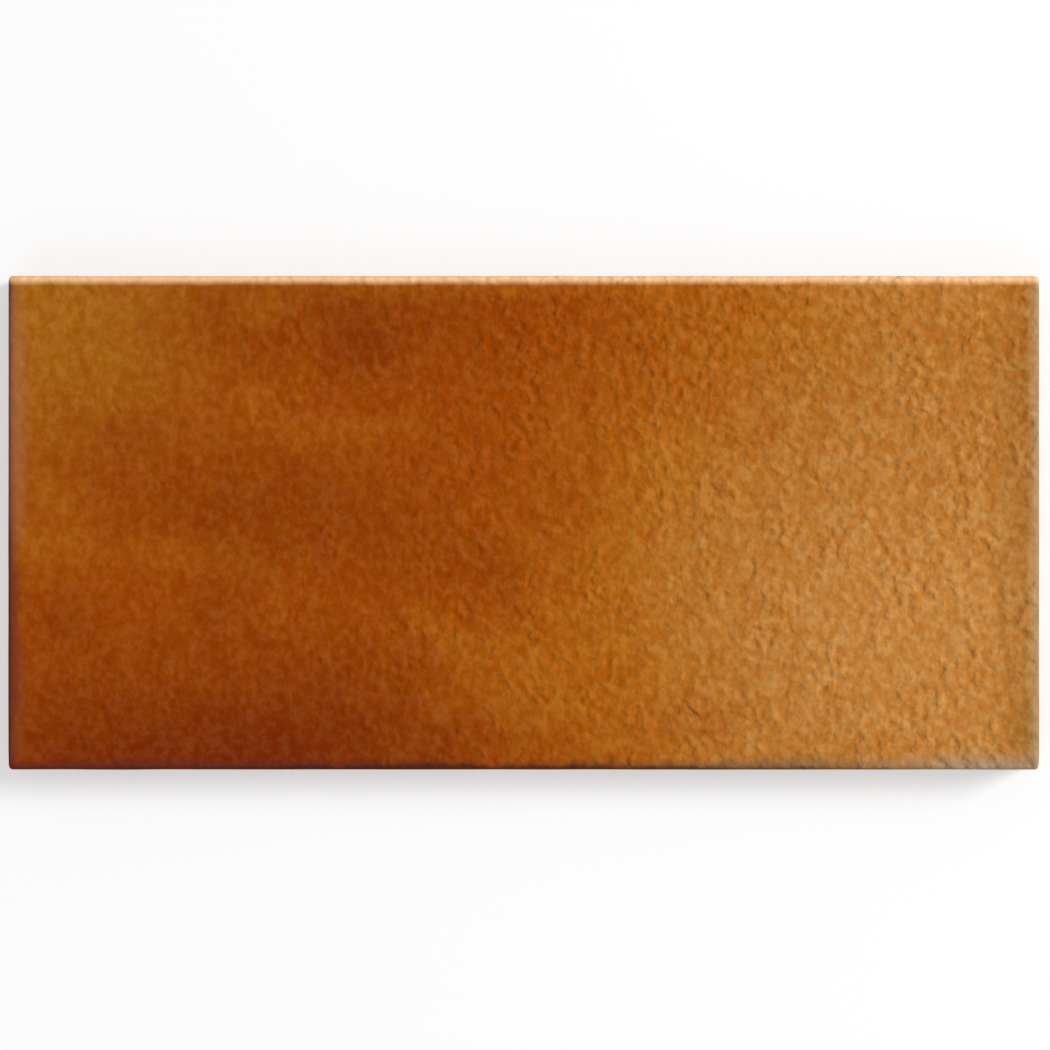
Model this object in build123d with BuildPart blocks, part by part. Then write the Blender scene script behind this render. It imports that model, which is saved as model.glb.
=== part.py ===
from build123d import *

import os

# Split floor tile, one piece of fired clay. The clay leaves the die as two tiles back to back, joined by ribs,
# and a wire cuts the column to length. After firing the pair is cleft apart through the ribs, so the back has
# dovetail ribs that end in split faces, and the tile lies on those.
# The origin is at the middle of the back. +X runs along the tile, the way the clay left the die, and +Z points
# to the wearing face.

# Overall sizes, in millimetres
tile_length = 240.0
tile_width = 115.0
tile_thickness = 12.0  # from the split faces to the wearing face

# Edges of the wearing face
long_arris_radius = 1.4  # drawn by the die
end_arris_radius = 0.8  # rubbed down after the wire cut
corner_radius = 1.0  # the four upright corners

# Dovetail grooves in the back
groove_pitch = 15.2
groove_depth = 3.0
groove_throat = 7.2  # the narrowest width, just behind the split faces
groove_undercut = 1.2  # how far each flank runs in behind the throat
groove_corner_radius = 0.6
least_edge_rib = 5.0  # the least clay between the last groove's floor and a long side

# Notches that lead the cleft: each tile keeps one bevel of every notch
split_notch_depth = 0.7
split_notch_width = 0.9

# Sizes that follow from those above
groove_floor = groove_throat + 2 * groove_undercut
groove_mouth = groove_throat + 2 * split_notch_width
groove_count = int((tile_width - 2 * least_edge_rib - groove_floor) // groove_pitch) + 1
back_width = tile_width - 2 * split_notch_width

# One groove: bevelled mouth, narrow throat, wide floor with rounded corners
with BuildSketch() as groove:
    with BuildLine():
        Polyline(
            (-groove_mouth / 2, 0),
            (-groove_throat / 2, split_notch_depth),
            (-groove_floor / 2, groove_depth),
            (groove_floor / 2, groove_depth),
            (groove_throat / 2, split_notch_depth),
            (groove_mouth / 2, 0),
            close=True,
        )
    make_face()
    fillet(groove.vertices().group_by(Axis.Y)[-1], groove_corner_radius)

# The tile
with BuildPart() as split_tile:
    # The clay column that the die draws, with its long arrises and its row of grooves
    with BuildSketch(Plane.YZ) as section:
        with BuildLine():
            Polyline(
                (-back_width / 2, 0),
                (back_width / 2, 0),
                (tile_width / 2, split_notch_depth),
                (tile_width / 2, tile_thickness),
                (-tile_width / 2, tile_thickness),
                (-tile_width / 2, split_notch_depth),
                close=True,
            )
        make_face()
        fillet(section.vertices().group_by(Axis.Y)[-1], long_arris_radius)
        with GridLocations(groove_pitch, 0, groove_count, 1):
            add(groove.sketch, mode=Mode.SUBTRACT)
    extrude(amount=tile_length / 2, both=True)

    # The wire cut at both ends, with the upper arris rubbed down
    with BuildSketch(Plane.XZ) as elevation:
        with Locations((0, tile_thickness / 2)):
            Rectangle(tile_length, tile_thickness)
        fillet(elevation.vertices().group_by(Axis.Y)[-1], end_arris_radius)
    extrude(amount=tile_width / 2, both=True, mode=Mode.INTERSECT)

    # The upright corners
    with BuildSketch() as plan:
        RectangleRounded(tile_length, tile_width, corner_radius)
    extrude(amount=tile_thickness, mode=Mode.INTERSECT)

split_tile.part.label = "split_tile"

os.makedirs("parts", exist_ok=True)
export_step(split_tile.part, "parts/split_tile.step")
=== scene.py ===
"""Looks of a split floor tile: one piece of fired clay with a flashed, leathery face and a dovetail back.

Shapes are worked out in millimetres on numpy grids, in the frame of the solid, and become metres in the mesh.
"""

import logging
import math
from dataclasses import dataclass, field
from enum import Enum
from itertools import product

import bpy
import numpy as np
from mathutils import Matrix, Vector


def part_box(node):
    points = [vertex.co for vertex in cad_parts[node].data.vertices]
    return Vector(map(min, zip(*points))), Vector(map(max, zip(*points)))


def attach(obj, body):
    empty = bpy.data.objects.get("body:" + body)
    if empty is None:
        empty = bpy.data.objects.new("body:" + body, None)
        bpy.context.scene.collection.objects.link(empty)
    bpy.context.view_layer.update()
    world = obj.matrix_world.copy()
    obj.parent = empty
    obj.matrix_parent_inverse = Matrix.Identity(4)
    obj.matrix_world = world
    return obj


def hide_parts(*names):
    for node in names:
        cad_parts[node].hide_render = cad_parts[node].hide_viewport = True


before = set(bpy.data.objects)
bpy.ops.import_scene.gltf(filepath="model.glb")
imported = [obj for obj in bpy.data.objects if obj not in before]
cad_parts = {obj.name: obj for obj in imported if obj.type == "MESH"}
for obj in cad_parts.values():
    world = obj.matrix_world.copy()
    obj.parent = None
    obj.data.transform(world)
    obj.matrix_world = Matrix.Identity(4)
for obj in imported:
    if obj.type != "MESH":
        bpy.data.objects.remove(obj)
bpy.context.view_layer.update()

NODE = "split_tile"
BODY = "root"
MM = 0.001  # one millimetre in metres
PLAN = (1.0, 1.0, 0.0)  # keeps a place's X and Y and drops its height
WHITE = (1.0, 1.0, 1.0, 1.0)
NOISE_MIDDLE = 0.5  # of a noise texture, which gives about 0 to 1

Pair = tuple[float, float]
Lengths = tuple[float, float, float]
Colour = tuple[float, float, float, float]
Socket = bpy.types.NodeSocket
Tree = bpy.types.NodeTree
Value = Socket | float | tuple[float, ...]
Inputs = dict[str | int, Value]
Sockets = dict[str, Socket]

log = logging.getLogger("split_tile")


class Tone(Enum):
    """The fired colours of the clay, and the tones of painted highlight and shade along the face's edges, as
    sRGB hex digits.
    """

    OCHRE = "b5722e"
    PALE_OCHRE = "c88844"
    HONEY = "b16412"
    GOLD = "aa6817"
    AMBER = "9c4502"
    RED_BROWN = "8c3a01"
    OXBLOOD = "701b02"
    # painted shade along the bottom and left edges
    SHADE_MAROON = "6a2c20"
    # painted shade along the left and bottom edges
    SHADE_UMBER = "6a3c24"
    ROSE = "a86c46"
    ROSE_RED = "8c3e26"
    # painted shade along the right and bottom edges
    TAN = "8c6542"
    OLIVE = "94682c"
    HAZE = "a98a6c"
    # painted highlight: the lit top arris
    HIGHLIGHT_PEACH = "f6c28e"
    STRAW = "b8966a"
    BODY = "b27a50"
    BODY_DARK = "8a5434"
    BODY_PALE = "cda07a"
    # the colour of iron specks, and painted shade along the bottom edge
    IRON_AND_SHADE = "3a2216"
    GROG = "dcc0a0"

    @property
    def light(self) -> Colour:
        """The colour in linear light, by the sRGB curve.

        Returns:
            Red, green and blue, with full alpha.
        """
        levels = np.array([int(self.value[i : i + 2], 16) for i in (0, 2, 4)]) / 255
        light = np.where(levels <= 0.04045, levels / 12.92, ((levels + 0.055) / 1.055) ** 2.4)
        return (*light.tolist(), 1.0)


class Finish(Enum):
    """The surfaces of the tile, by how the clay there was made, in the order of the material slots."""

    FACE = 0
    EDGE = 1
    DRAWN = 2
    CUT = 3
    SPLIT = 4


class Side(Enum):
    """The sides of the wearing face that have a band, as the axis and the direction in which each faces."""

    TOP = ("Y", 1.0)
    RIGHT = ("X", 1.0)
    LEFT = ("X", -1.0)


class GradientNoise:
    """Seeded gradient noise in three dimensions, worked out on whole arrays."""

    CELLS = 256
    GAIN = 1.5  # brings the noise to about -1 to 1

    def __init__(self, seed: int) -> None:
        """Draw the shuffled cells and the unit gradients.

        Args:
            seed: the number that fixes the draws.
        """
        rng = np.random.default_rng(seed)
        self.shuffled = rng.permutation(self.CELLS)
        gradients = rng.normal(size=(self.CELLS, 3))
        self.gradients = gradients / np.linalg.norm(gradients, axis=1, keepdims=True)

    def __call__(self, points: np.ndarray) -> np.ndarray:
        """Sum, over the eight corners of each point's cell, the corner's slope there times a smooth weight.

        Args:
            points: places in cells, of shape (count, 3).

        Returns:
            One value for each point, about -1 to 1.
        """
        cell = np.floor(points).astype(int)
        local = points - cell
        fade = local**3 * (local * (local * 6 - 15) + 10)
        total = np.zeros(len(points))
        for corner in product((0, 1), repeat=3):
            at = (cell + corner) % self.CELLS
            key = self.shuffled[at[:, 0]]
            key = self.shuffled[(key + at[:, 1]) % self.CELLS]
            key = self.shuffled[(key + at[:, 2]) % self.CELLS]
            slope = np.einsum("ij,ij->i", self.gradients[key], local - corner)
            total += slope * np.prod(np.where(corner, fade, 1 - fade), axis=1)
        return total * self.GAIN


@dataclass(frozen=True)
class Waves:
    """A field of noise: the lengths of its cells along X, Y and Z, and its height, in millimetres."""

    lengths: Lengths
    height: float

    def at(self, noise: GradientNoise, points: np.ndarray) -> np.ndarray:
        """The noise at the points, drawn out to the field's lengths and height."""
        return self.height * noise(points / np.array(self.lengths))


def smooth_step(low: float, high: float, values: np.ndarray) -> np.ndarray:
    """Rise from 0 at low to 1 at high along the cubic 3t^2 - 2t^3."""
    t = np.clip((values - low) / (high - low), 0, 1)
    return t * t * (3 - 2 * t)


def lifted(plan: np.ndarray, height: np.ndarray | float) -> np.ndarray:
    """Put points of a plan at a height."""
    return np.concatenate((plan, np.broadcast_to(height, plan.shape[:-1])[..., None]), axis=-1)


def vertex_normals(points: np.ndarray, triangles: np.ndarray) -> np.ndarray:
    """Sum the area-weighted normals of the triangles round each point, and make the sums unit long.

    Args:
        points: the points, of shape (count, 3).
        triangles: the numbers of each triangle's corners.

    Returns:
        One normal for each point.
    """
    a, b, c = (points[triangles[:, i]] for i in range(3))
    normals = np.repeat(np.cross(b - a, c - a), 3, axis=0)
    sums = [np.bincount(triangles.ravel(), normals[:, axis], minlength=len(points)) for axis in range(3)]
    total = np.stack(sums, axis=-1)
    return total / np.linalg.norm(total, axis=1, keepdims=True)


@dataclass
class Shell:
    """Patches of one closed surface, gathered as grids of points and welded where their edges meet."""

    points: list[np.ndarray] = field(default_factory=list)
    quads: list[np.ndarray] = field(default_factory=list)
    triangles: list[np.ndarray] = field(default_factory=list)
    count: int = 0

    WELD_DIGITS = 5  # places after the millimetre's point at which two points are one

    def add_points(self, points: np.ndarray) -> np.ndarray:
        """Store points and give their numbers.

        Args:
            points: an array of points, of any shape that ends in 3.

        Returns:
            The points' numbers, in the shape of the array.
        """
        numbers = self.count + np.arange(points.size // 3).reshape(points.shape[:-1])
        self.points.append(points.reshape(-1, 3))
        self.count += points.size // 3
        return numbers

    def add_grid(self, grid: np.ndarray) -> None:
        """Add a patch of quads, seen from outside with its columns to the right and its rows upward.

        Args:
            grid: the points, of shape (rows, columns, 3).
        """
        at = self.add_points(grid)
        corners = (at[:-1, :-1], at[:-1, 1:], at[1:, 1:], at[1:, :-1])
        self.quads.append(np.stack(corners, axis=-1).reshape(-1, 4))

    def add_zip(self, lower: np.ndarray, upper: np.ndarray, low_at: np.ndarray, up_at: np.ndarray) -> None:
        """Join two lines of points that divide the same course differently, with one triangle for each edge.

        An edge's triangle ends at the point of the other line that the middle of the edge has reached.

        Args:
            lower: the line that is below, seen from outside, running to the right.
            upper: the line above it.
            low_at: how far along the course each lower point is.
            up_at: how far along the course each upper point is.
        """
        low, up = self.add_points(lower), self.add_points(upper)
        low_middle = (low_at[:-1] + low_at[1:]) / 2
        up_middle = (up_at[:-1] + up_at[1:]) / 2
        up_reached = up[np.searchsorted(up_middle, low_middle, side="left")]
        low_reached = low[np.searchsorted(low_middle, up_middle, side="right")]
        self.triangles.append(np.stack((low[:-1], low[1:], up_reached), axis=-1))
        self.triangles.append(np.stack((up[1:], up[:-1], low_reached), axis=-1))

    def weld(self) -> tuple[np.ndarray, np.ndarray, np.ndarray]:
        """Make points that lie together one.

        Returns:
            The points, the quads and the triangles.
        """
        every = np.concatenate(self.points)
        points, renumbered = np.unique(np.round(every, self.WELD_DIGITS), axis=0, return_inverse=True)
        renumbered = renumbered.reshape(-1)
        return points, renumbered[np.concatenate(self.quads)], renumbered[np.concatenate(self.triangles)]


@dataclass
class Outline:
    """A closed course round the tile, anticlockwise from above, by its stations along X and along Y."""

    x: np.ndarray
    y: np.ndarray

    def line(self) -> np.ndarray:
        """The course along the -Y side, up the +X side, back along +Y and down -X, to the first point again.

        Returns:
            The course's points in plan.
        """
        x, y = self.x, self.y
        sides = (
            np.stack((x[:-1], np.full(len(x) - 1, y[0])), axis=-1),
            np.stack((np.full(len(y) - 1, x[-1]), y[:-1]), axis=-1),
            np.stack((x[:0:-1], np.full(len(x) - 1, y[-1])), axis=-1),
            np.stack((np.full(len(y), x[0]), y[::-1]), axis=-1),
        )
        return np.concatenate(sides)

    def at(self) -> np.ndarray:
        """How far along the course each point is: the side's number and the share of that side.

        Returns:
            One number for each point of the line, from 0 to 4.
        """
        along_x = (self.x - self.x[0]) / (self.x[-1] - self.x[0])
        along_y = (self.y - self.y[0]) / (self.y[-1] - self.y[0])
        return np.concatenate((along_x[:-1], 1 + along_y[:-1], 3 - along_x[:0:-1], 4 - along_y[::-1]))


@dataclass
class SplitTile:
    """The tile: its sizes in millimetres, its closed surface, its relief and its finishes."""

    length: float
    width: float
    thickness: float
    long_arris: float = 1.4
    end_arris: float = 0.8
    corner: float = 1.0
    groove_count: int = 7
    groove_pitch: float = 15.2
    groove_depth: float = 3.0
    groove_throat: float = 7.2
    groove_undercut: float = 1.2
    groove_corner: float = 0.6
    notch_depth: float = 0.7
    notch_width: float = 0.9

    # Cells of the grids
    face_cells: tuple[int, int] = (400, 152)
    wall_cells: tuple[int, int] = (160, 56)
    arris_rows: int = 4
    wall_rows: int = 6
    rib_cells: int = 5
    floor_cells: int = 3
    fillet_cells: int = 2
    flank_cells: int = 2
    corner_spread: float = 3.0  # how far from a corner the arris stretches to reach round it
    zip_height: float = 0.8  # height of the rows that join the walls to the arris and to the ribs

    # Relief
    coarse_grain: Waves = Waves((3.2, 3.8, 3.8), 0.054)
    fine_grain: Waves = Waves((1.8, 2.1, 2.1), 0.045)
    grain_drift: Waves = Waves((9.0, 9.0, 9.0), 0.8)
    drift_shifts: Lengths = (0.0, 50.0, 90.0)  # where the noise is read for the drift along X, Y and Z
    grain_end: Pair = (0.1, 0.8)  # shares of the long arris, going down, between which the grain ends
    bold_span: Pair = (-40.0, 60.0)  # X between which the grain grows bolder
    least_bold: float = 0.6
    swell: Waves = Waves((45.0, 35.0, 35.0), 0.10)
    waver: Waves = Waves((16.0, 16.0, 16.0), 0.07)  # of walls and grooves
    fracture_depth: float = 0.6
    chips: Waves = Waves((7.0, 5.0, 5.0), 0.24)
    crumbs: Waves = Waves((3.2, 2.4, 2.4), 0.24)
    crumb_shift: float = 31.0  # where the noise is read for the crumbs
    grain_seed: int = 11  # and the two after it
    fracture_seed: int = 18

    # How the finishes part
    skin_depth: float = 4.2  # how far down the sides the face's skin is worked out
    split_height: float = 0.07  # below which a surface is a split face
    flat: float = 0.999  # upward share of a normal, past which a surface is the flat face
    endwise: float = math.sqrt(0.5)  # share of a normal along X, past which a surface is a cut end
    crease_angle: float = 38.0  # degrees, past which an edge stays sharp

    @classmethod
    def from_frame(cls) -> "SplitTile":
        """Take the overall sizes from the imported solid."""
        low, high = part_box(NODE)
        return cls(*((high - low) / MM))

    def spread(self, inner: np.ndarray, inset: float) -> np.ndarray:
        """Carry the face's stations out to the tile's sides, moving only those within the corner spread.

        Args:
            inner: the stations along one axis of the flat face.
            inset: how far the flat face's edge is inside the tile's side.

        Returns:
            The stations along the tile's side.
        """
        half = abs(inner[-1])
        calm = half - self.corner_spread
        reach = np.interp(np.abs(inner), (0, calm, half), (0, calm, half + inset))
        return np.sign(inner) * reach

    def groove_side(self) -> np.ndarray:
        """Half of a groove from its mouth to its floor, left of the middle: bevel, flank and corner arc.

        Returns:
            Points (Y from the groove's middle, Z).
        """
        throat = np.array((-self.groove_throat / 2, self.notch_depth))
        mouth = np.array((throat[0] - self.notch_width, 0))
        rise = self.groove_depth - self.notch_depth
        lean = math.atan2(rise, self.groove_undercut)
        radius = self.groove_corner
        inset = radius / math.tan(lean / 2) - self.groove_undercut
        middle = np.array((throat[0] + inset, self.groove_depth - radius))
        turns = np.linspace(1.5 * math.pi - lean, 0.5 * math.pi, self.fillet_cells + 1)
        arc = middle + radius * np.stack((np.cos(turns), np.sin(turns)), axis=-1)
        flank = np.linspace(throat, arc[0], self.flank_cells + 1)
        return np.concatenate((mouth[None], flank[:-1], arc))

    def ribs(self) -> list[tuple[np.ndarray, np.ndarray]]:
        """The two sides of each rib, from the back of the plate down to the split face.

        Returns:
            For each rib its left and right line of (Y, Z) points.
        """
        right = self.groove_side()[::-1]
        left = right * (-1, 1)
        middles = (np.arange(self.groove_count) - (self.groove_count - 1) / 2) * self.groove_pitch
        drop = np.linspace(self.groove_depth, self.notch_depth, len(right) - 1)
        outer = np.stack((np.full(len(drop), self.width / 2), drop), axis=-1)
        outer = np.concatenate((outer, [(self.width / 2 - self.notch_width, 0)]))
        lefts = [outer * (-1, 1), *(left + (y, 0) for y in middles)]
        rights = [*(right + (y, 0) for y in middles), outer]
        return list(zip(lefts, rights, strict=True))

    def add_face(self, shell: Shell) -> tuple[Outline, np.ndarray]:
        """Add the flat face and the arris, which turns from the face's edge to the sides on quarter ellipses.

        Args:
            shell: the surface to add to.

        Returns:
            The outline at the foot of the arris, and its height at each point.
        """
        half = (self.length / 2 - self.end_arris, self.width / 2 - self.long_arris)
        x, y = (np.linspace(-h, h, n + 1) for h, n in zip(half, self.face_cells, strict=True))
        shell.add_grid(lifted(np.stack(np.meshgrid(x, y), axis=-1), self.thickness))
        edge = Outline(x, y)
        rim = Outline(self.spread(x, self.end_arris), self.spread(y, self.long_arris))
        out = rim.line() - edge.line()
        share = out**2 / np.sum(out**2, axis=1, keepdims=True)
        drop = share @ (self.end_arris, self.long_arris)
        turns = np.linspace(math.pi / 2, 0, self.arris_rows + 1)[:, None]
        plan = edge.line() + out * np.sin(turns)[..., None]
        shell.add_grid(lifted(plan, self.thickness - drop * (1 - np.cos(turns))))
        return rim, self.thickness - drop

    def add_walls(self, shell: Shell, rim: Outline, rim_height: np.ndarray) -> tuple[Outline, np.ndarray]:
        """Add the sides and ends of the plate, in level rows from above the ribs to below the arris.

        Args:
            shell: the surface to add to.
            rim: the outline at the foot of the arris.
            rim_height: its height at each point.

        Returns:
            The outline of the rows, and the lowest row's points.
        """
        across_x, across_y = self.wall_cells
        wall = Outline(
            np.linspace(rim.x[0], rim.x[-1], across_x + 1), np.linspace(rim.y[0], rim.y[-1], across_y + 1)
        )
        low = self.groove_depth + self.zip_height
        high = np.interp(wall.at(), rim.at(), rim_height) - self.zip_height
        shares = np.linspace(0, 1, self.wall_rows + 1)
        rows = np.stack([lifted(wall.line(), low + (high - low) * share) for share in shares])
        shell.add_grid(rows)
        shell.add_zip(rows[-1], lifted(rim.line(), rim_height), wall.at(), rim.at())
        return wall, rows[0]

    def add_back(self, shell: Shell, wall: Outline, wall_foot: np.ndarray) -> None:
        """Add the ribbed back, its profile carried along X, and the ribs' ends, ruled from side to side.

        Args:
            shell: the surface to add to.
            wall: the outline of the walls' rows.
            wall_foot: the points of their lowest row.
        """
        ribs = self.ribs()
        across = np.linspace(0, 1, self.rib_cells + 1)[:, None]
        floors = [
            np.linspace(right[0], left[0], self.floor_cells + 1)[1:-1]
            for (_, right), (left, _) in zip(ribs[:-1], ribs[1:], strict=True)
        ]
        no_floor = floors[0][:0]  # the last rib has no groove after it
        profile, stations = [], []
        for (left, right), floor in zip(ribs, [*floors, no_floor], strict=True):
            split = left[-1] + (right[-1] - left[-1]) * across
            profile += [left[:-1], split, right[-2::-1], floor]
            stations += [left[0, 0] + (right[0, 0] - left[0, 0]) * across[:, 0], floor[:, 0]]
            ruled = left[::-1, None] + (right - left)[::-1, None] * across
            for x, order in ((wall.x[-1], 1), (wall.x[0], -1)):
                end = np.concatenate((np.full((*ruled.shape[:2], 1), x), ruled), axis=-1)
                shell.add_grid(end[:, ::order])
        section = np.concatenate(profile)
        back = np.empty((len(wall.x), len(section), 3))
        back[..., 0] = wall.x[:, None]
        back[..., 1:] = section
        shell.add_grid(back)
        foot = Outline(wall.x, np.concatenate(stations))
        shell.add_zip(lifted(foot.line(), self.groove_depth), wall_foot, foot.at(), wall.at())

    def round_corners(self, points: np.ndarray) -> np.ndarray:
        """Draw the upright corners round: each square ring about the arc's middle becomes an arc of its size.

        Args:
            points: the points, with square corners in plan.

        Returns:
            The points with round corners.
        """
        middle = np.array((self.length, self.width)) / 2 - self.corner
        past = np.clip(np.abs(points[:, :2]) - middle, 0, None)
        away = np.maximum(np.linalg.norm(past, axis=1), np.finfo(float).tiny)
        inside = np.minimum(np.abs(points[:, :2]), middle)
        rounded = points.copy()
        rounded[:, :2] = np.sign(points[:, :2]) * (inside + past * (past.max(axis=1) / away)[:, None])
        return rounded

    def relief(self, points: np.ndarray) -> np.ndarray:
        """Work out how far each point of the surface moves.

        The face has two sizes of leathery grain, bolder to the right, over a broad swell. Walls and grooves
        waver.

        Args:
            points: the points before the relief.

        Returns:
            The moves, outward along the normals.
        """
        coarse, fine, broad = (GradientNoise(self.grain_seed + i) for i in range(3))
        low, high = (share * self.long_arris for share in self.grain_end)
        face = 1 - smooth_step(low, high, self.thickness - points[:, 2])
        bold = self.least_bold + (1 - self.least_bold) * smooth_step(*self.bold_span, points[:, 0])
        drift = [self.grain_drift.at(broad, points + shift) for shift in self.drift_shifts]
        moved = points + np.stack(drift, axis=-1)
        grain = self.coarse_grain.at(coarse, moved) + self.fine_grain.at(fine, moved)
        swell = self.swell.at(broad, points)
        return face * (grain * bold + swell) + (1 - face) * self.waver.at(broad, points)

    def fracture(self, points: np.ndarray) -> np.ndarray:
        """How far the split faces are broken in: half the depth plus chips and crumbs, kept within the depth.

        Args:
            points: the points before the relief.

        Returns:
            The depth at each point, which is 0 away from the split faces.
        """
        broken = GradientNoise(self.fracture_seed)
        crumbs = self.crumbs.at(broken, points + self.crumb_shift)
        depth = self.fracture_depth / 2 + self.chips.at(broken, points) + crumbs
        return np.where(points[:, 2] < self.split_height, np.clip(depth, 0, self.fracture_depth), 0)

    def build(self) -> bpy.types.Object:
        """Make the mesh and its object, carried by the body and standing for the solid.

        The relief moves points along their normals. The fracture lifts the split faces, and their lowest
        point stays on the floor.

        Returns:
            The tile's object.
        """
        shell = Shell()
        self.add_back(shell, *self.add_walls(shell, *self.add_face(shell)))
        points, quads, triangles = shell.weld()
        points = self.round_corners(points)
        halves = np.concatenate((quads[:, [0, 1, 2]], quads[:, [0, 2, 3]], triangles))
        depth = self.fracture(points)
        broken = depth > 0
        move = np.where(broken, 0, self.relief(points))
        shaped = points + vertex_normals(points, halves) * move[:, None]
        shaped[:, 2] += depth - depth[broken].min() * broken

        mesh = bpy.data.meshes.new("fired_tile")
        mesh.from_pydata(shaped * MM, [], quads.tolist() + triangles.tolist())
        mesh.polygons.foreach_set("material_index", self.finishes(points, quads, triangles))
        mesh.shade_smooth()
        mesh.set_sharp_from_angle(angle=math.radians(self.crease_angle))
        piece = bpy.data.objects.new("fired_tile", mesh)
        bpy.context.scene.collection.objects.link(piece)
        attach(piece, BODY)
        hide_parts(NODE)
        return piece

    def finishes(self, points: np.ndarray, quads: np.ndarray, triangles: np.ndarray) -> np.ndarray:
        """Choose each face's finish from its place and the way that it faces.

        Args:
            points: the points before the relief.
            quads: the corners of the faces with four.
            triangles: the corners of the faces with three.

        Returns:
            The number of the material slot for each face.
        """
        corners = np.concatenate((quads[:, [0, 1, 2]], triangles))
        a, b, c = (points[corners[:, i]] for i in range(3))
        normals = np.cross(b - a, c - a)
        normals /= np.linalg.norm(normals, axis=1, keepdims=True)
        height = np.concatenate((points[quads].mean(axis=1), points[triangles].mean(axis=1)))[:, 2]
        chosen = np.where(np.abs(normals[:, 0]) > self.endwise, Finish.CUT.value, Finish.DRAWN.value)
        chosen = np.where(height < self.split_height, Finish.SPLIT.value, chosen)
        chosen = np.where(height > self.thickness - self.skin_depth, Finish.EDGE.value, chosen)
        return np.where(normals[:, 2] > self.flat, Finish.FACE.value, chosen).astype(np.int32)

    def dress(self, piece: bpy.types.Object) -> None:
        """Give the tile its materials, in the order of the finishes.

        Args:
            piece: the tile's object.
        """
        skin, clay = FLASHED_FACE.skin(self), CLAY_BODY.group()
        materials = {
            Finish.FACE: FLASHED_FACE.material("flashed_face", skin),
            Finish.EDGE: FLASHED_FACE.material("flashed_edge", skin, clay),
            Finish.DRAWN: DRAWN_CLAY.material(clay),
            Finish.CUT: CUT_CLAY.material(clay),
            Finish.SPLIT: SPLIT_CLAY.material(clay),
        }
        for finish in Finish:
            piece.data.materials.append(materials[finish])


@dataclass(frozen=True)
class Noise:
    """Noise in a material: the lengths of its cells along X, Y and Z in millimetres, and how fine it goes."""

    lengths: Lengths
    detail: float = 2.0
    rough: float = 0.5
    shift: float = 0.0  # how far up it is read, so that noises of like lengths differ


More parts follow.
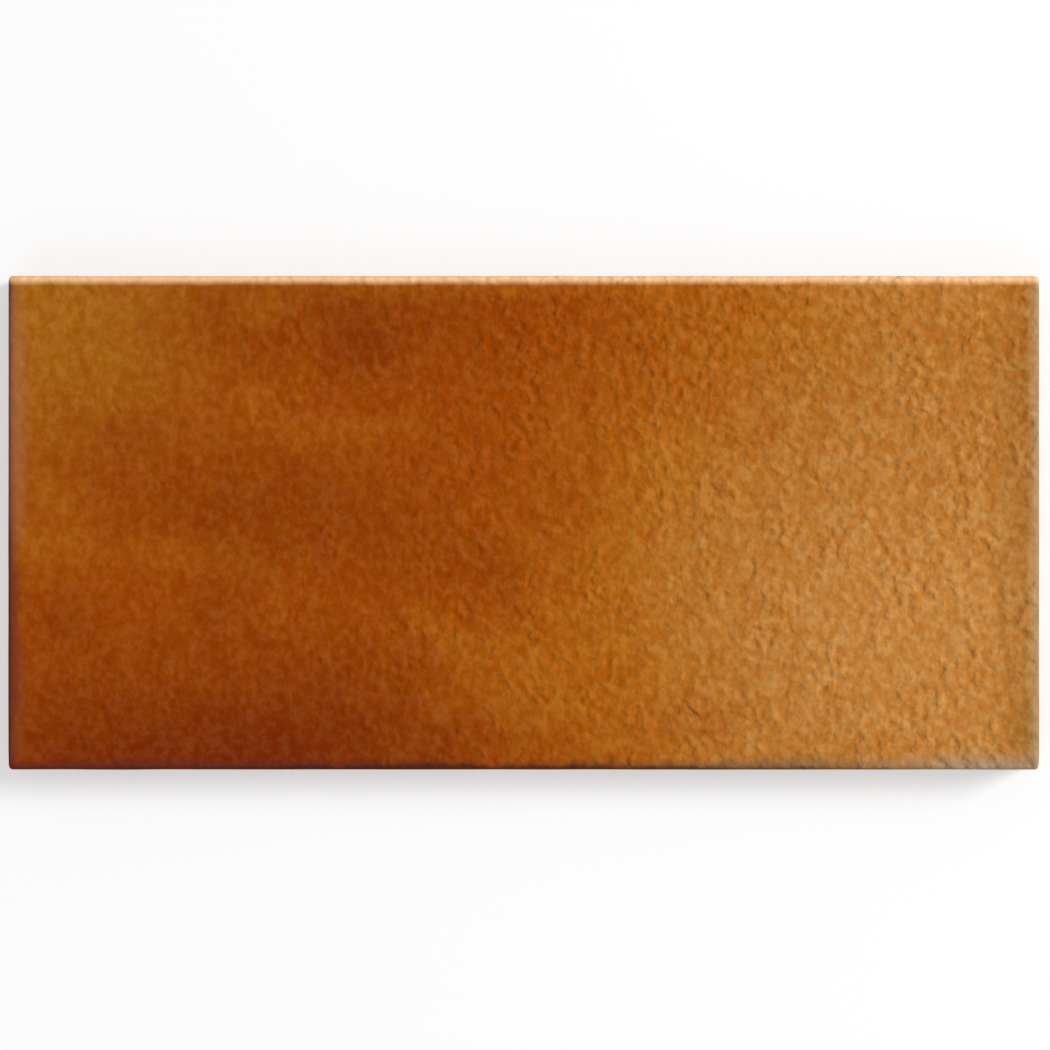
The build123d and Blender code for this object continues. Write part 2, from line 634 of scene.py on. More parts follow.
class Graph:
    """A short way to add nodes to one node tree and to link them."""

    MIX_INPUTS = (0, 6, 7)  # the share and the two colours among the inputs of a Mix node
    MIX_OUTPUT = 2  # the colour that it gives

    def __init__(self, tree: Tree) -> None:
        """Keep the tree that the nodes go to."""
        self.tree = tree

    def put(self, socket: Socket, value: Value) -> None:
        """Link a socket to another one, or set its value.

        Args:
            socket: the input.
            value: the output that it is linked to, or its value.
        """
        if isinstance(value, bpy.types.NodeSocket):
            self.tree.links.new(value, socket)
        else:
            socket.default_value = value

    def add(self, kind: str, values: Inputs | None = None, **settings: str | Tree) -> bpy.types.Node:
        """Add a node.

        Args:
            kind: the node's type, without the words that all shader nodes start with.
            values: values or sockets for the node's inputs, by name or number.
            settings: the node's own settings.

        Returns:
            The node.
        """
        node = self.tree.nodes.new("ShaderNode" + kind)
        for name, value in settings.items():
            setattr(node, name, value)
        for key, value in (values or {}).items():
            self.put(node.inputs[key], value)
        return node

    def group(self, tree: Tree, **values: Value) -> bpy.types.Node:
        """Add a node group, with values or sockets for its inputs."""
        return self.add("Group", values, node_tree=tree)

    def math(self, operation: str, *terms: Value) -> Socket:
        """Work out one number from up to three."""
        return self.add("Math", dict(enumerate(terms)), operation=operation).outputs[0]

    def vector(self, operation: str, *terms: Value) -> Socket:
        """Work out one vector from up to three."""
        return self.add("VectorMath", dict(enumerate(terms)), operation=operation).outputs["Vector"]

    def length(self, vector: Value) -> Socket:
        """The length of a vector."""
        return self.add("VectorMath", {0: vector}, operation="LENGTH").outputs["Value"]

    def mix(self, share: Value, first: Value, second: Value, blend: str = "MIX") -> Socket:
        """Mix two colours."""
        values = dict(zip(self.MIX_INPUTS, (share, first, second), strict=True))
        return self.add("Mix", values, data_type="RGBA", blend_type=blend).outputs[self.MIX_OUTPUT]

    def step(self, value: Value, low: Value, high: Value, top: Value = 1.0) -> Socket:
        """Rise smoothly from 0 at low to the top at high, or fall where low is above high."""
        ends = {"Value": value, "From Min": low, "From Max": high, "To Max": top}
        return self.add("MapRange", ends, interpolation_type="SMOOTHSTEP").outputs[0]

    def between(self, share: Value, start: float, end: float) -> Socket:
        """Go from the start, at a share of 0, to the end, at a share of 1."""
        return self.math("MULTIPLY_ADD", share, end - start, start)

    def noise_node(self, point: Value, noise: Noise) -> bpy.types.Node:
        """Add a noise texture.

        Args:
            point: the place in millimetres.
            noise: the noise.

        Returns:
            The node, which gives one number, and three as a colour.
        """
        if noise.shift:
            point = self.vector("ADD", point, (0.0, 0.0, noise.shift))
        scaled = self.vector("DIVIDE", point, noise.lengths)
        values = {"Vector": scaled, "Scale": 1.0, "Detail": noise.detail, "Roughness": noise.rough}
        return self.add("TexNoise", values)

    def noise(self, point: Value, noise: Noise) -> Socket:
        """One number from a noise texture."""
        return self.noise_node(point, noise).outputs["Fac"]

    def drifted(self, point: Value, drift: Waves) -> Socket:
        """Places moved by noise, up to about the drift's height.

        Args:
            point: the place in millimetres.
            drift: the lengths of the noise and how far it moves a place.

        Returns:
            The moved place.
        """
        noise = self.noise_node(point, Noise(drift.lengths)).outputs["Color"]
        centred = self.vector("SUBTRACT", noise, (NOISE_MIDDLE,) * 3)
        return self.vector("MULTIPLY_ADD", centred, (2 * drift.height,) * 3, point)

    def millimetres(self) -> Socket:
        """The place on the tile in millimetres, from the object's own coordinates."""
        return self.vector("DIVIDE", self.add("TexCoord").outputs["Object"], (MM, MM, MM))

    def bump(self, height: Value) -> Socket:
        """The normal of a surface with the given height in millimetres."""
        return self.add("Bump", {"Strength": 1.0, "Distance": MM, "Height": height}).outputs["Normal"]

    def shown(self) -> Socket:
        """Tell the rays that show a background: from the camera, a reflection or a see-through surface.

        Returns:
            1 for such a ray and 0 for others.
        """
        path = self.add("LightPath").outputs
        some = self.math("MAXIMUM", path["Is Camera Ray"], path["Is Glossy Ray"])
        return self.math("MAXIMUM", some, path["Is Transmission Ray"])


SOCKET_KINDS = {"Point": "Vector", "Colour": "Color"}  # every other socket of a group is a Float


def new_group(name: str, takes: tuple[str, ...], gives: tuple[str, ...]) -> tuple[Graph, Sockets, Sockets]:
    """Start a shader node group.

    Args:
        name: the group's name.
        takes: the names of its inputs.
        gives: the names of its outputs.

    Returns:
        The group's graph, the sockets that bring its inputs and the sockets that its outputs go to.
    """
    tree = bpy.data.node_groups.new(name, "ShaderNodeTree")
    for names, way in ((takes, "INPUT"), (gives, "OUTPUT")):
        for socket in names:
            kind = "NodeSocket" + SOCKET_KINDS.get(socket, "Float")
            tree.interface.new_socket(socket, in_out=way, socket_type=kind)
    bring, take = tree.nodes.new("NodeGroupInput"), tree.nodes.new("NodeGroupOutput")
    return Graph(tree), {n: bring.outputs[n] for n in takes}, {n: take.inputs[n] for n in gives}


def new_material(name: str) -> tuple[bpy.types.Material, Graph, bpy.types.Node]:
    """Start a material.

    Args:
        name: the material's name.

    Returns:
        The material, its graph and its Principled shader.
    """
    material = bpy.data.materials.new(name)
    material.use_nodes = True
    return material, Graph(material.node_tree), material.node_tree.nodes["Principled BSDF"]


@dataclass(frozen=True)
class Specks:
    """Round specks in the clay, at most one in each cell; lengths in millimetres."""

    tone: Tone
    cell: float
    empty: float  # the share of the cells without a speck
    radius: float  # of a middling speck
    least: float = 0.5  # the smallest radius as a share of the middling one
    core: float = 0.4  # the share of the radius inside which the speck is at full strength

    def mask(self, graph: Graph, point: Value) -> Socket:
        """Scatter the specks: 1 in the middle of a speck and 0 past its own radius.

        Args:
            graph: the graph to add to.
            point: the place in millimetres.

        Returns:
            The mask.
        """
        cells = graph.add("TexVoronoi", {"Vector": point, "Scale": 1 / self.cell, "Randomness": 1.0})
        number = graph.add("SeparateColor", {0: cells.outputs["Color"]}).outputs
        size = graph.math("ADD", number["Green"], self.least)
        radius = graph.math("MULTIPLY", size, self.radius / self.cell)
        speck = graph.step(cells.outputs["Distance"], radius, graph.math("MULTIPLY", radius, self.core))
        return graph.math("MULTIPLY", speck, graph.math("GREATER_THAN", number["Red"], self.empty))


@dataclass(frozen=True)
class ClayBody:
    """The bare body: clouded, grainy clay with dark iron specks and pale grog."""

    cloud: Noise = Noise((14.0, 14.0, 9.0), detail=4.0, rough=0.6)
    cloud_range: Pair = (0.34, 0.68)
    grain: Noise = Noise((1.1, 1.1, 1.1), detail=4.0, rough=0.65)
    grain_range: Pair = (0.4, 0.75)
    grain_pale: float = 0.35
    rough_range: Pair = (-0.6, 0.5)  # the grain between which the roughness rises
    speck_drift: Waves = Waves((0.9, 0.9, 0.9), 0.35)
    specks: tuple[Specks, ...] = (Specks(Tone.IRON_AND_SHADE, 2.8, 0.80, 0.55), Specks(Tone.GROG, 2.1, 0.70, 0.45))

    def group(self) -> Tree:
        """Make the group.

        Returns:
            The group, which takes how pale and gritty the clay is and gives its colour, roughness and grain.
        """
        takes, gives = ("Point", "Pale", "Grit"), ("Colour", "Roughness", "Height")
        graph, given, out = new_group("clay_body", takes, gives)
        point = given["Point"]
        cloud, grain = graph.noise(point, self.cloud), graph.noise(point, self.grain)
        colour = graph.mix(graph.step(cloud, *self.cloud_range), Tone.BODY_DARK.light, Tone.BODY.light)
        light = graph.step(grain, *self.grain_range, self.grain_pale)
        colour = graph.mix(light, colour, Tone.BODY_PALE.light)
        colour = graph.mix(given["Pale"], colour, Tone.BODY_PALE.light)
        uneven = graph.drifted(point, self.speck_drift)
        for specks in self.specks:
            mask = graph.math("MULTIPLY", specks.mask(graph, uneven), given["Grit"])
            colour = graph.mix(mask, colour, specks.tone.light)
        graph.put(out["Colour"], colour)
        graph.put(out["Roughness"], graph.step(grain, *self.rough_range))
        graph.put(out["Height"], grain)
        return graph.tree


@dataclass(frozen=True)
class BareClay:
    """Finish of a surface where the body shows, with lines left by the tool; heights in millimetres."""

    name: str
    pale: float
    grit: float
    lines: Noise
    line_height: float
    grain_height: float
    specular: float = 0.2

    def material(self, clay: Tree) -> bpy.types.Material:
        """Make the material: the body's colour, with its grain and the tool's lines as bump.

        Args:
            clay: the group of the body.

        Returns:
            The material.
        """
        material, graph, shader = new_material(self.name)
        point = graph.millimetres()
        body = graph.group(clay, Point=point, Pale=self.pale, Grit=self.grit).outputs
        grain = graph.math("MULTIPLY", body["Height"], self.grain_height)
        height = graph.math("MULTIPLY_ADD", graph.noise(point, self.lines), self.line_height, grain)
        graph.put(shader.inputs["Base Color"], body["Colour"])
        graph.put(shader.inputs["Roughness"], body["Roughness"])
        graph.put(shader.inputs["Normal"], graph.bump(height))
        shader.inputs["Specular IOR Level"].default_value = self.specular
        return material


@dataclass(frozen=True)
class LeatherGrain:
    """The leathery grain: fine mottling over soft lumps, bolder in patches, with a few pimples and pits."""

    drift: Waves = Waves((5.0, 5.0, 5.0), 0.6)
    fine: Noise = Noise((1.9, 2.2, 1.9), rough=0.6)
    lump: Noise = Noise((2.1, 2.2, 2.1), detail=0.6, shift=40.0)
    patch: Noise = Noise((9.0, 11.0, 9.0), detail=1.0)
    pimple: Noise = Noise((2.7, 2.8, 2.7), detail=0.0, shift=80.0)
    pit: Noise = Noise((2.7, 2.8, 2.7), detail=0.0, shift=120.0)
    fine_range: Pair = (0.25, 0.75)
    lump_range: Pair = (0.22, 0.76)
    patch_range: Pair = (0.34, 0.66)
    peak_range: Pair = (0.48, 1.0)
    height: float = 0.25  # of a lump at full boldness, in millimetres
    least_lump: float = 0.4  # a lump's share outside the patches; it is this plus 1 inside
    pit_share: float = 0.6  # a pit's depth as a share of a pimple's height
    fine_share: float = 0.9
    peak_fleck: float = 0.35  # how much a pimple lightens the mottling

    def add(self, graph: Graph, point: Value, bold: Value) -> tuple[Socket, Socket]:
        """Add the grain to a graph.

        Args:
            graph: the graph to add to.
            point: the place in millimetres.
            bold: the share of the full height.

        Returns:
            The mottling, from about 0 in the dark to 1 in the light, and the height in millimetres.
        """
        moved = graph.drifted(point, self.drift)
        fine = graph.noise(moved, self.fine)
        lump = graph.step(graph.noise(moved, self.lump), *self.lump_range)
        patch = graph.step(graph.noise(point, self.patch), *self.patch_range)
        pimple = graph.step(graph.noise(moved, self.pimple), *self.peak_range)
        pit = graph.step(graph.noise(moved, self.pit), *self.peak_range)
        peaks = graph.math("MULTIPLY", graph.math("MULTIPLY_ADD", pit, -self.pit_share, pimple), bold)
        height = graph.math("MULTIPLY", lump, graph.math("ADD", patch, self.least_lump))
        height = graph.math("MULTIPLY_ADD", fine, self.fine_share, graph.math("ADD", height, peaks))
        height = graph.math("MULTIPLY", height, graph.math("MULTIPLY", bold, self.height))
        fleck = graph.math("MULTIPLY_ADD", peaks, self.peak_fleck, graph.step(fine, *self.fine_range))
        return fleck, height


@dataclass(frozen=True)
class OvalPatch:
    """A soft oval patch of colour on the face, placed in millimetres from the tile's middle. Most are flame
    colours; the thin dark ones along the bottom edge are painted shade, and the one along the lower left edge
    is partly so.
    """

    tone: Tone
    centre: Pair
    reach: Pair
    strength: float = 1.0
    full: float = 0.0  # the share of the reach out to which the patch is at full strength
    turn: float = 0.0  # degrees anticlockwise

    def over(self, graph: Graph, point: Value, colour: Value) -> Socket:
        """Lay the patch over a colour: it falls smoothly with the distance from its middle, in reaches.

        Args:
            graph: the graph to add to.
            point: the place in plan, in millimetres.
            colour: the colour below.

        Returns:
            The colour with the patch.
        """
        middle = (*self.centre, 0.0)
        if self.turn:
            back = {"Vector": point, "Center": middle, "Angle": -math.radians(self.turn)}
            point = graph.add("VectorRotate", back, rotation_type="Z_AXIS").outputs["Vector"]
        offset = graph.vector("SUBTRACT", point, middle)
        away = graph.length(graph.vector("DIVIDE", offset, (*self.reach, 1.0)))
        return graph.mix(graph.step(away, 1.0, self.full, self.strength), colour, self.tone.light)


@dataclass(frozen=True)
class PatchLayer:
    """Patches that are laid one after another, in places that drift together."""

    drift: Waves
    patches: tuple[OvalPatch, ...]

    def over(self, graph: Graph, flat: Value, colour: Value) -> Value:
        """Lay the patches over a colour.

        Args:
            graph: the graph to add to.
            flat: the place in plan, in millimetres.
            colour: the colour below.

        Returns:
            The colour with the patches.
        """
        point = graph.vector("MULTIPLY", graph.drifted(flat, self.drift), PLAN)
        for patch in self.patches:
            colour = patch.over(graph, point, colour)
        return colour


@dataclass(frozen=True)
class EdgeBand:
    """A band of colour along one side of the face, full at the edge and gone at its reach, in millimetres.
    The top band is a painted highlight; the left band and the thin right band are painted shade.
    """

    side: Side
    tone: Tone
    full: float
    reach: float
    strength: float = 1.0
    ragged: float = 0.8  # how far the band's border wanders

    def over(self, graph: Graph, away: Sockets, ragged: Value, colour: Value) -> Socket:
        """Lay the band over a colour, by the distance from its side and the noise that its border follows.

        Args:
            graph: the graph to add to.
            away: the distance of the place from each side, by the side's name.
            ragged: the noise, about -0.5 to 0.5.
            colour: the colour below.

        Returns:
            The colour with the band.
        """
        border = graph.math("MULTIPLY_ADD", ragged, 2 * self.ragged, away[self.side.name])
        return graph.mix(graph.step(border, self.reach, self.full, self.strength), colour, self.tone.light)


@dataclass(frozen=True)
class FlashedFace:
    """Finish of the wearing face: flame colours, mottling, grain and thin edges, with painted highlight,
    sheen and shade; lengths in millimetres.
    """

    # Colours, in the order in which they are laid: flame colours, edge bands with painted highlight and
    # shade, and stains with painted shade along the bottom and left edges; the grain comes after the streaks
    ground: Tone
    flashes: PatchLayer
    streaks: PatchLayer
    edge_tints_and_light: tuple[EdgeBand, ...]
    stains_and_shade: PatchLayer
    ragged: Noise = Noise((4.5, 4.5, 3.0), detail=3.0)  # for the borders of bands and of the skin

    # Mottling, calmer over the pale right
    mottle: Noise = Noise((6.0, 8.0, 1.0), detail=4.0, rough=0.62)
    gold_range: Pair = (0.45, 0.72)
    gold_tint: Colour = (1.06, 1.20, 1.45, 1.0)
    red_range: Pair = (0.52, 0.28)
    red_tint: Colour = (0.94, 0.85, 0.72, 1.0)
    pale_span: Pair = (0.0, 90.0)  # X between which the face turns pale
    calm: float = 0.55  # the mottling's share over the pale right

    # Grain, bolder to the right, with a painted sheen on its light flecks that grows to the right
    grain: LeatherGrain = LeatherGrain()
    bold_span: Pair = (-90.0, 30.0)  # X between which the grain grows bolder
    least_bold: float = 0.42
    # pits darker and ridges paler: partly the glaze's colour, partly painted shade in the pits and painted
    # highlight on the ridges
    pit_tint_and_shade: Colour = (0.922, 0.865, 0.60, 1.0)
    ridge_tint_and_highlight: Colour = (1.067, 1.112, 1.32, 1.0)
    # painted sheen: a pale lift on the grain's light flecks
    painted_sheen: Colour = (0.018, 0.032, 0.013, 1.0)
    painted_sheen_range: Pair = (0.20, 1.05)  # the mottling between which the bloom rises
    least_painted_sheen: float = 0.4

    # Sides, where the skin ends raggedly over the body
    bare_range: Pair = (1.3, 2.3)  # depth between which the body comes out
    bare_ragged: float = 2.4
    body_pale: float = 0.15
    body_grit: float = 0.7

    # Gloss
    gloss: Noise = Noise((9.0, 9.0, 1.0), detail=1.0)
    rough_range: Pair = (0.42, 0.62)
    specular: float = 0.025

    def mottled(self, graph: Graph, flat: Value, pale: Value, colour: Value) -> Socket:
        """Tint a colour golden where the mottle is high and red where it is low.

        Args:
            graph: the graph to add to.
            flat: the place in plan, in millimetres.
            pale: 1 over the pale right and 0 over the left.
            colour: the colour below.

        Returns:
            The mottled colour.
        """
        mottle = graph.noise(flat, self.mottle)
        calm = graph.between(pale, 1.0, self.calm)
        for span, tint in ((self.gold_range, self.gold_tint), (self.red_range, self.red_tint)):
            mask = graph.math("MULTIPLY", graph.step(mottle, *span), calm)
            colour = graph.mix(mask, colour, tint, "MULTIPLY")
        return colour

    def flecked(self, graph: Graph, fleck: Value, pale: Value, colour: Value) -> Socket:
        """Tint a colour by the grain, and add a painted sheen on its light flecks.

        Args:
            graph: the graph to add to.
            fleck: the grain's mottling.
            pale: 1 over the pale right and 0 over the left.
            colour: the colour below.

        Returns:
            The flecked colour.
        """
        # partly painted shade in the pits and painted highlight on the ridges
        tint = graph.mix(fleck, self.pit_tint_and_shade, self.ridge_tint_and_highlight)
        colour = graph.mix(1.0, colour, tint, "MULTIPLY")
        # painted sheen, stronger over the pale right
        sheen_share = graph.between(pale, self.least_painted_sheen, 1.0)
        painted_sheen = graph.math("MULTIPLY", graph.step(fleck, *self.painted_sheen_range), sheen_share)
        return graph.mix(painted_sheen, colour, self.painted_sheen, "ADD")

    def skin(self, tile: SplitTile) -> Tree:
        """Make the group of the skin.

        Args:
            tile: the tile, for its sizes.

        Returns:
            The group, which gives the colour, the share of bare body, the roughness and the grain's height.
        """
        graph, given, out = new_group("flashed_skin", ("Point",), ("Colour", "Bare", "Roughness", "Height"))
        point = given["Point"]
        place = graph.add("SeparateXYZ", {0: point}).outputs
        flat = graph.vector("MULTIPLY", point, PLAN)
        pale = graph.step(place["X"], *self.pale_span)
        bold = graph.between(graph.step(place["X"], *self.bold_span), self.least_bold, 1.0)
        fleck, height = self.grain.add(graph, point, bold)
        half = {"X": tile.length / 2, "Y": tile.width / 2}
        away = {}
        for side in Side:
            axis, way = side.value
            away[side.name] = graph.math("MULTIPLY_ADD", place[axis], -way, half[axis])
        ragged = graph.math("SUBTRACT", graph.noise(point, self.ragged), NOISE_MIDDLE)

        colour = self.flashes.over(graph, flat, self.ground.light)
        colour = self.streaks.over(graph, flat, colour)
        colour = self.mottled(graph, flat, pale, colour)
        colour = self.flecked(graph, fleck, pale, colour)
        for band in self.edge_tints_and_light:
            colour = band.over(graph, away, ragged, colour)
        colour = self.stains_and_shade.over(graph, flat, colour)

        depth = graph.math("SUBTRACT", tile.thickness, place["Z"])
        depth = graph.math("MULTIPLY_ADD", ragged, self.bare_ragged, depth)
        graph.put(out["Colour"], colour)
        graph.put(out["Bare"], graph.step(depth, *self.bare_range))
        graph.put(out["Roughness"], graph.between(graph.noise(flat, self.gloss), *self.rough_range))
        graph.put(out["Height"], height)
        return graph.tree

    def material(self, name: str, skin: Tree, clay: Tree | None = None) -> bpy.types.Material:
        """Make a material of the skin, with the body below it where the surface goes down the sides.

        Args:
            name: the material's name.
            skin: the group of the skin.
            clay: the group of the body, or none for the flat face.

        Returns:
            The material.
        """
        material, graph, shader = new_material(name)
        point = graph.millimetres()
        given = graph.group(skin, Point=point).outputs
        colour = given["Colour"]
        if clay:
            body = graph.group(clay, Point=point, Pale=self.body_pale, Grit=self.body_grit).outputs
            colour = graph.mix(given["Bare"], colour, body["Colour"])
        graph.put(shader.inputs["Base Color"], colour)
        graph.put(shader.inputs["Roughness"], given["Roughness"])
        graph.put(shader.inputs["Normal"], graph.bump(given["Height"]))
        shader.inputs["Specular IOR Level"].default_value = self.specular
        return material


FLASHED_FACE = FlashedFace(
    ground=Tone.AMBER,
    flashes=PatchLayer(
        drift=Waves((26.0, 20.0, 1.0), 9.0),
        patches=(
            OvalPatch(Tone.GOLD, (-122, 52), (80, 58), 0.9),
            OvalPatch(Tone.HONEY, (-116, -3), (28, 13), 0.4),
            OvalPatch(Tone.RED_BROWN, (-42, 54), (66, 30), 0.8),
            OvalPatch(Tone.RED_BROWN, (-60, 4), (62, 24), 0.75, turn=-8),
            OvalPatch(Tone.OXBLOOD, (-74, -66), (112, 53), 0.9),
            OvalPatch(Tone.HONEY, (2, -36), (42, 25), 0.5),
            OvalPatch(Tone.HONEY, (130, -15), (150, 124), 1.0, 0.62),
            OvalPatch(Tone.OCHRE, (135, -20), (125, 104), 1.0, 0.55),
            OvalPatch(Tone.PALE_OCHRE, (98, -24), (76, 56), 0.6),
            OvalPatch(Tone.AMBER, (46, 32), (36, 22), 0.28),
            OvalPatch(Tone.PALE_OCHRE, (96, 56), (36, 16), 0.2),
            OvalPatch(Tone.AMBER, (124, 0), (18, 90), 0.2, 0.3),
        ),
    ),
    streaks=PatchLayer(
        drift=Waves((8.0, 6.0, 1.0), 1.5),
        patches=(
            OvalPatch(Tone.HONEY, (-12, 58), (110, 8), 0.4, 0.2),
            OvalPatch(Tone.OXBLOOD, (-37, 40), (15, 13), 0.3),
            OvalPatch(Tone.HONEY, (-61, 50), (11, 8), 0.45),
            OvalPatch(Tone.HONEY, (-47, 21.5), (36, 6), 0.35),
            OvalPatch(Tone.RED_BROWN, (-92, 21), (20, 9), 0.45),
            OvalPatch(Tone.HONEY, (-84, -7), (40, 7), 0.27, turn=-9),
            OvalPatch(Tone.HONEY, (-18, -27), (22, 6), 0.5, turn=-37),
            OvalPatch(Tone.OXBLOOD, (-71, -20), (12, 10), 0.3),
            OvalPatch(Tone.OXBLOOD, (-107, -22), (11, 11), 0.28),
            OvalPatch(Tone.RED_BROWN, (-8, -10), (13, 11), 0.5),
            OvalPatch(Tone.AMBER, (13, 10), (40, 9), 0.3, turn=54),
            OvalPatch(Tone.AMBER, (11, -3), (17, 22), 0.24),
            OvalPatch(Tone.AMBER, (27, 42), (13, 10), 0.5),
            OvalPatch(Tone.HONEY, (31, 54), (18, 6), 0.5),
            OvalPatch(Tone.PALE_OCHRE, (80, 55), (42, 7), 0.2),
            OvalPatch(Tone.AMBER, (38, -46), (20, 10), 0.3),
            OvalPatch(Tone.HONEY, (-3, -30), (13, 11), 0.25),
            OvalPatch(Tone.HONEY, (-109, 6), (14, 9), 0.3),
            OvalPatch(Tone.HONEY, (-62, 29), (14, 12), 0.18),
            OvalPatch(Tone.RED_BROWN, (-29, -36), (15, 12), 0.32),
            OvalPatch(Tone.OCHRE, (117, -42), (10, 24), 0.9),
            OvalPatch(Tone.AMBER, (117, 38), (10, 22), 0.22),
            OvalPatch(Tone.OLIVE, (116, 0), (10, 75), 0.22, 0.3),
            OvalPatch(Tone.OLIVE, (119.5, -49), (8, 14), 0.6, 0.2),
        ),
    ),
    edge_tints_and_light=(
        # painted shade along the left edge
        EdgeBand(Side.LEFT, Tone.SHADE_UMBER, full=0.5, reach=2.3, strength=0.85),
        EdgeBand(Side.RIGHT, Tone.STRAW, full=0.6, reach=3.4, strength=0.65),
        # painted shade: darkens the right arris, which the key lamp lights
        EdgeBand(Side.RIGHT, Tone.TAN, full=0.2, reach=0.9, strength=0.5, ragged=0.2),
        # painted highlight along the top arris
        EdgeBand(Side.TOP, Tone.HIGHLIGHT_PEACH, full=0.6, reach=2.5, ragged=0.4),
    ),
    stains_and_shade=PatchLayer(
        drift=Waves((5.0, 5.0, 1.0), 1.5),
        patches=(
            OvalPatch(Tone.ROSE, (-120, 24), (6, 46), 0.5, 0.4),
            OvalPatch(Tone.ROSE_RED, (-120, -38), (5, 32), 0.5, 0.4),
            # painted shade along the bottom edge
            OvalPatch(Tone.SHADE_MAROON, (-75, -59), (112, 5), 0.9, 0.4),
            # painted shade along the bottom edge
            OvalPatch(Tone.SHADE_UMBER, (28, -59), (54, 4.7), 0.9, 0.3),
            # painted shade along the bottom edge
            OvalPatch(Tone.TAN, (62, -59), (44, 6), 0.9, 0.3),
            OvalPatch(Tone.HAZE, (108, -59), (40, 7), 0.9, 0.3),
            OvalPatch(Tone.GROG, (110, -59), (36, 3), 0.35, 0.4),
            # painted shade: a dark line at the bottom edge
            OvalPatch(Tone.IRON_AND_SHADE, (-12, -58.5), (122, 2.6), 0.5, 0.6),
            # darker along the lower left edge: partly the edge's colour, partly painted shade
            OvalPatch(Tone.SHADE_MAROON, (-120, -26), (3.6, 44), 0.5, 0.4),
        ),
    ),
)

CLAY_BODY = ClayBody()
DRAWN_CLAY = BareClay(
    "drawn_clay",
    pale=0.10,
    grit=0.6,
    lines=Noise((60.0, 0.9, 0.6), detail=3.0),
    line_height=0.10,
    grain_height=0.05,
)
CUT_CLAY = BareClay(
    "wire_cut_clay",
    pale=0.20,
    grit=0.9,
    lines=Noise((1.5, 30.0, 0.5), detail=3.0),
    line_height=0.16,
    grain_height=0.08,
)
SPLIT_CLAY = BareClay(
    "split_clay",
    pale=0.45,
    grit=1.0,
    lines=Noise((2.4, 1.6, 1.6), detail=3.0),
    line_height=0.70,
    grain_height=0.25,
)


@dataclass(frozen=True)
class Lamp:
    """A square soft lamp aimed at the tile; its level is the share of full light on what faces it."""

    name: str
    bearing: float  # degrees clockwise from +Y, seen from above
    rise: float  # degrees above the floor
    distance: float  # metres
    size: float  # metres
    level: float

    def add(self) -> None:
        """Make the lamp. A lamp of P watts at distance d lights a surface that faces it by P / (pi d)^2."""
        data = bpy.data.lights.new(self.name, "AREA")
        data.size = self.size
        data.energy = self.level * (math.pi * self.distance) ** 2
        lamp = bpy.data.objects.new(self.name, data)
        bearing, rise = math.radians(self.bearing), math.radians(self.rise)
        out = (math.sin(bearing) * math.cos(rise), math.cos(bearing) * math.cos(rise), math.sin(rise))
        lamp.location = np.array(out) * self.distance
        lamp.rotation_euler = (math.pi / 2 - rise, 0, math.pi - bearing)
        bpy.context.scene.collection.objects.link(lamp)


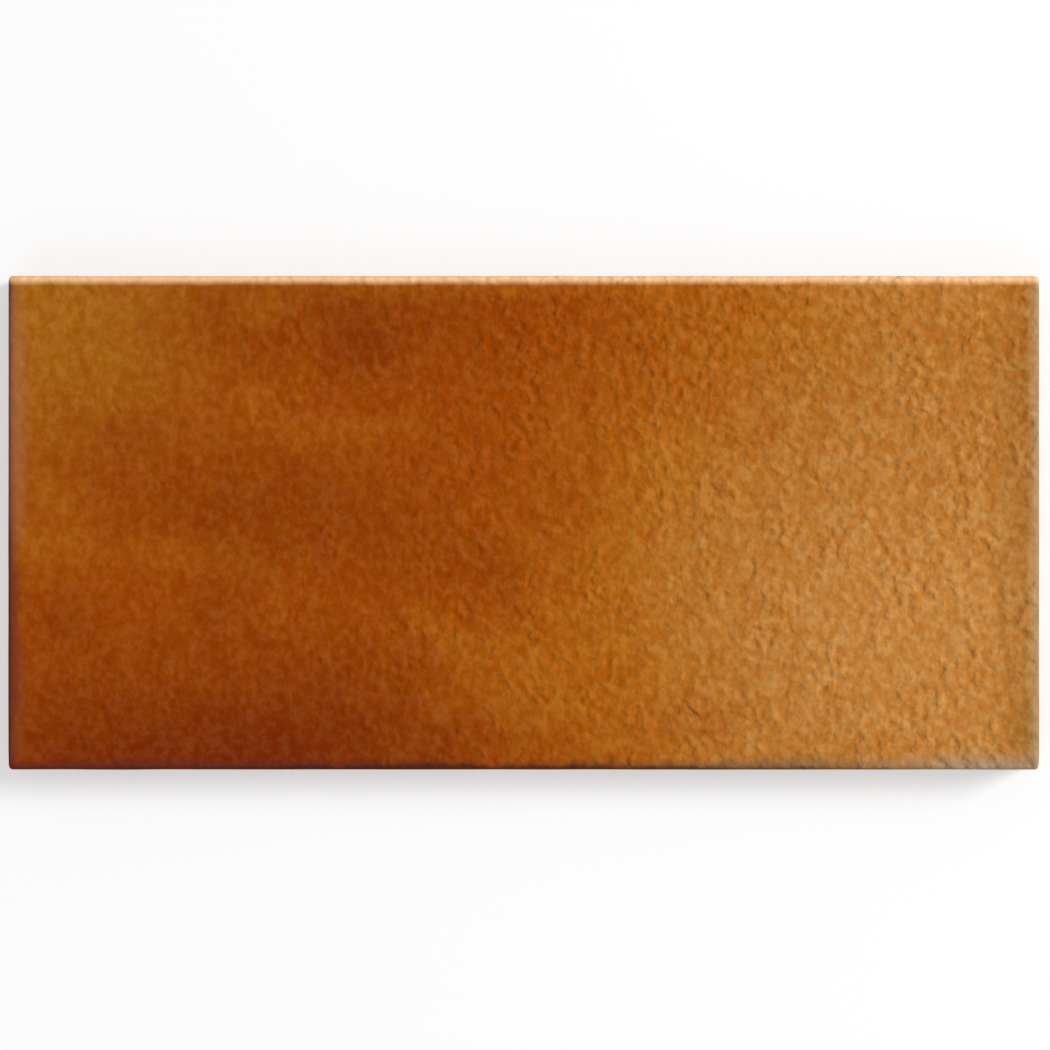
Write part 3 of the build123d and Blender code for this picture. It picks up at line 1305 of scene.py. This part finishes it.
@dataclass(frozen=True)
class Studio:
    """Pale floor, soft light and plain white surroundings; lengths in metres."""

    lamps: tuple[Lamp, ...]
    sky: float  # the surroundings' light on the tile, as a share of full light
    floor_size: float = 6.0
    floor_white: float = 0.5
    floor_glow: float = 0.5
    floor_drop: float = 0.00005  # keeps the floor clear of the split faces

    def add_sky(self) -> None:
        """Add white surroundings that light the tile at the sky's level."""
        world = bpy.data.worlds.new("studio")
        world.use_nodes = True
        graph = Graph(world.node_tree)
        background = world.node_tree.nodes["Background"]
        graph.put(background.inputs["Color"], WHITE)
        graph.put(background.inputs["Strength"], graph.between(graph.shown(), self.sky, 1.0))
        bpy.context.scene.world = world

    def add_floor(self) -> None:
        """Add a pale floor that keeps the tile's shadow."""
        half = self.floor_size / 2
        mesh = bpy.data.meshes.new("floor")
        corners = [(-half, -half), (half, -half), (half, half), (-half, half)]
        mesh.from_pydata([(x, y, -self.floor_drop) for x, y in corners], [], [(0, 1, 2, 3)])
        material, graph, shader = new_material("pale_floor")
        shader.inputs["Base Color"].default_value = (self.floor_white,) * 3 + (1.0,)
        shader.inputs["Roughness"].default_value = 1.0
        shader.inputs["Specular IOR Level"].default_value = 0.0
        shader.inputs["Emission Color"].default_value = WHITE
        glow = graph.math("MULTIPLY", graph.shown(), self.floor_glow)
        graph.put(shader.inputs["Emission Strength"], glow)
        mesh.materials.append(material)
        floor = bpy.data.objects.new("floor", mesh)
        bpy.context.scene.collection.objects.link(floor)

    def build(self) -> None:
        """Add the surroundings, the floor and the lamps."""
        self.add_sky()
        self.add_floor()
        for lamp in self.lamps:
            lamp.add()
        bpy.context.scene.view_settings.view_transform = "Standard"


STUDIO = Studio(
    lamps=(
        Lamp("key", bearing=72, rise=32, distance=3.6, size=1.28, level=1.07),
        Lamp("fill", bearing=215, rise=45, distance=1.4, size=0.9, level=0.06),
    ),
    sky=0.40,
)


@dataclass(frozen=True)
class PhotoView:
    """Camera straight above the tile, from where the tile's sides lie in the picture, in pixels."""

    picture: float = 1050.0
    left: float = 8.0
    right: float = 1039.5
    middle_row: float = 522.8
    lens: float = 135.0  # millimetres, as the sensor
    sensor: float = 36.0

    def add(self, tile: SplitTile) -> None:
        """Make the camera: its rise over the face is the picture's width in millimetres times lens / sensor.

        Args:
            tile: the tile, for its sizes.
        """
        per_mm = (self.right - self.left) / tile.length
        data = bpy.data.cameras.new("photo_view")
        data.lens = self.lens
        data.sensor_width = self.sensor
        camera = bpy.data.objects.new("photo_view", data)
        middle = self.picture / 2
        x = (middle - (self.left + self.right) / 2) / per_mm
        y = (self.middle_row - middle) / per_mm
        rise = self.lens * self.picture / per_mm / self.sensor
        camera.location = (x * MM, y * MM, (tile.thickness + rise) * MM)
        bpy.context.scene.collection.objects.link(camera)
        bpy.context.scene.camera = camera


def main() -> None:
    """Build the tile, its surroundings and the camera, and report the piece."""
    logging.basicConfig(level=logging.INFO, format="%(message)s")
    tile = SplitTile.from_frame()
    piece = tile.build()
    log.info("%s: %d points, %d faces", piece.name, len(piece.data.vertices), len(piece.data.polygons))
    tile.dress(piece)
    log.info("%s: %s", piece.name, ", ".join(material.name for material in piece.data.materials))
    STUDIO.build()
    PhotoView().add(tile)


if __name__ == "__main__":
    main()
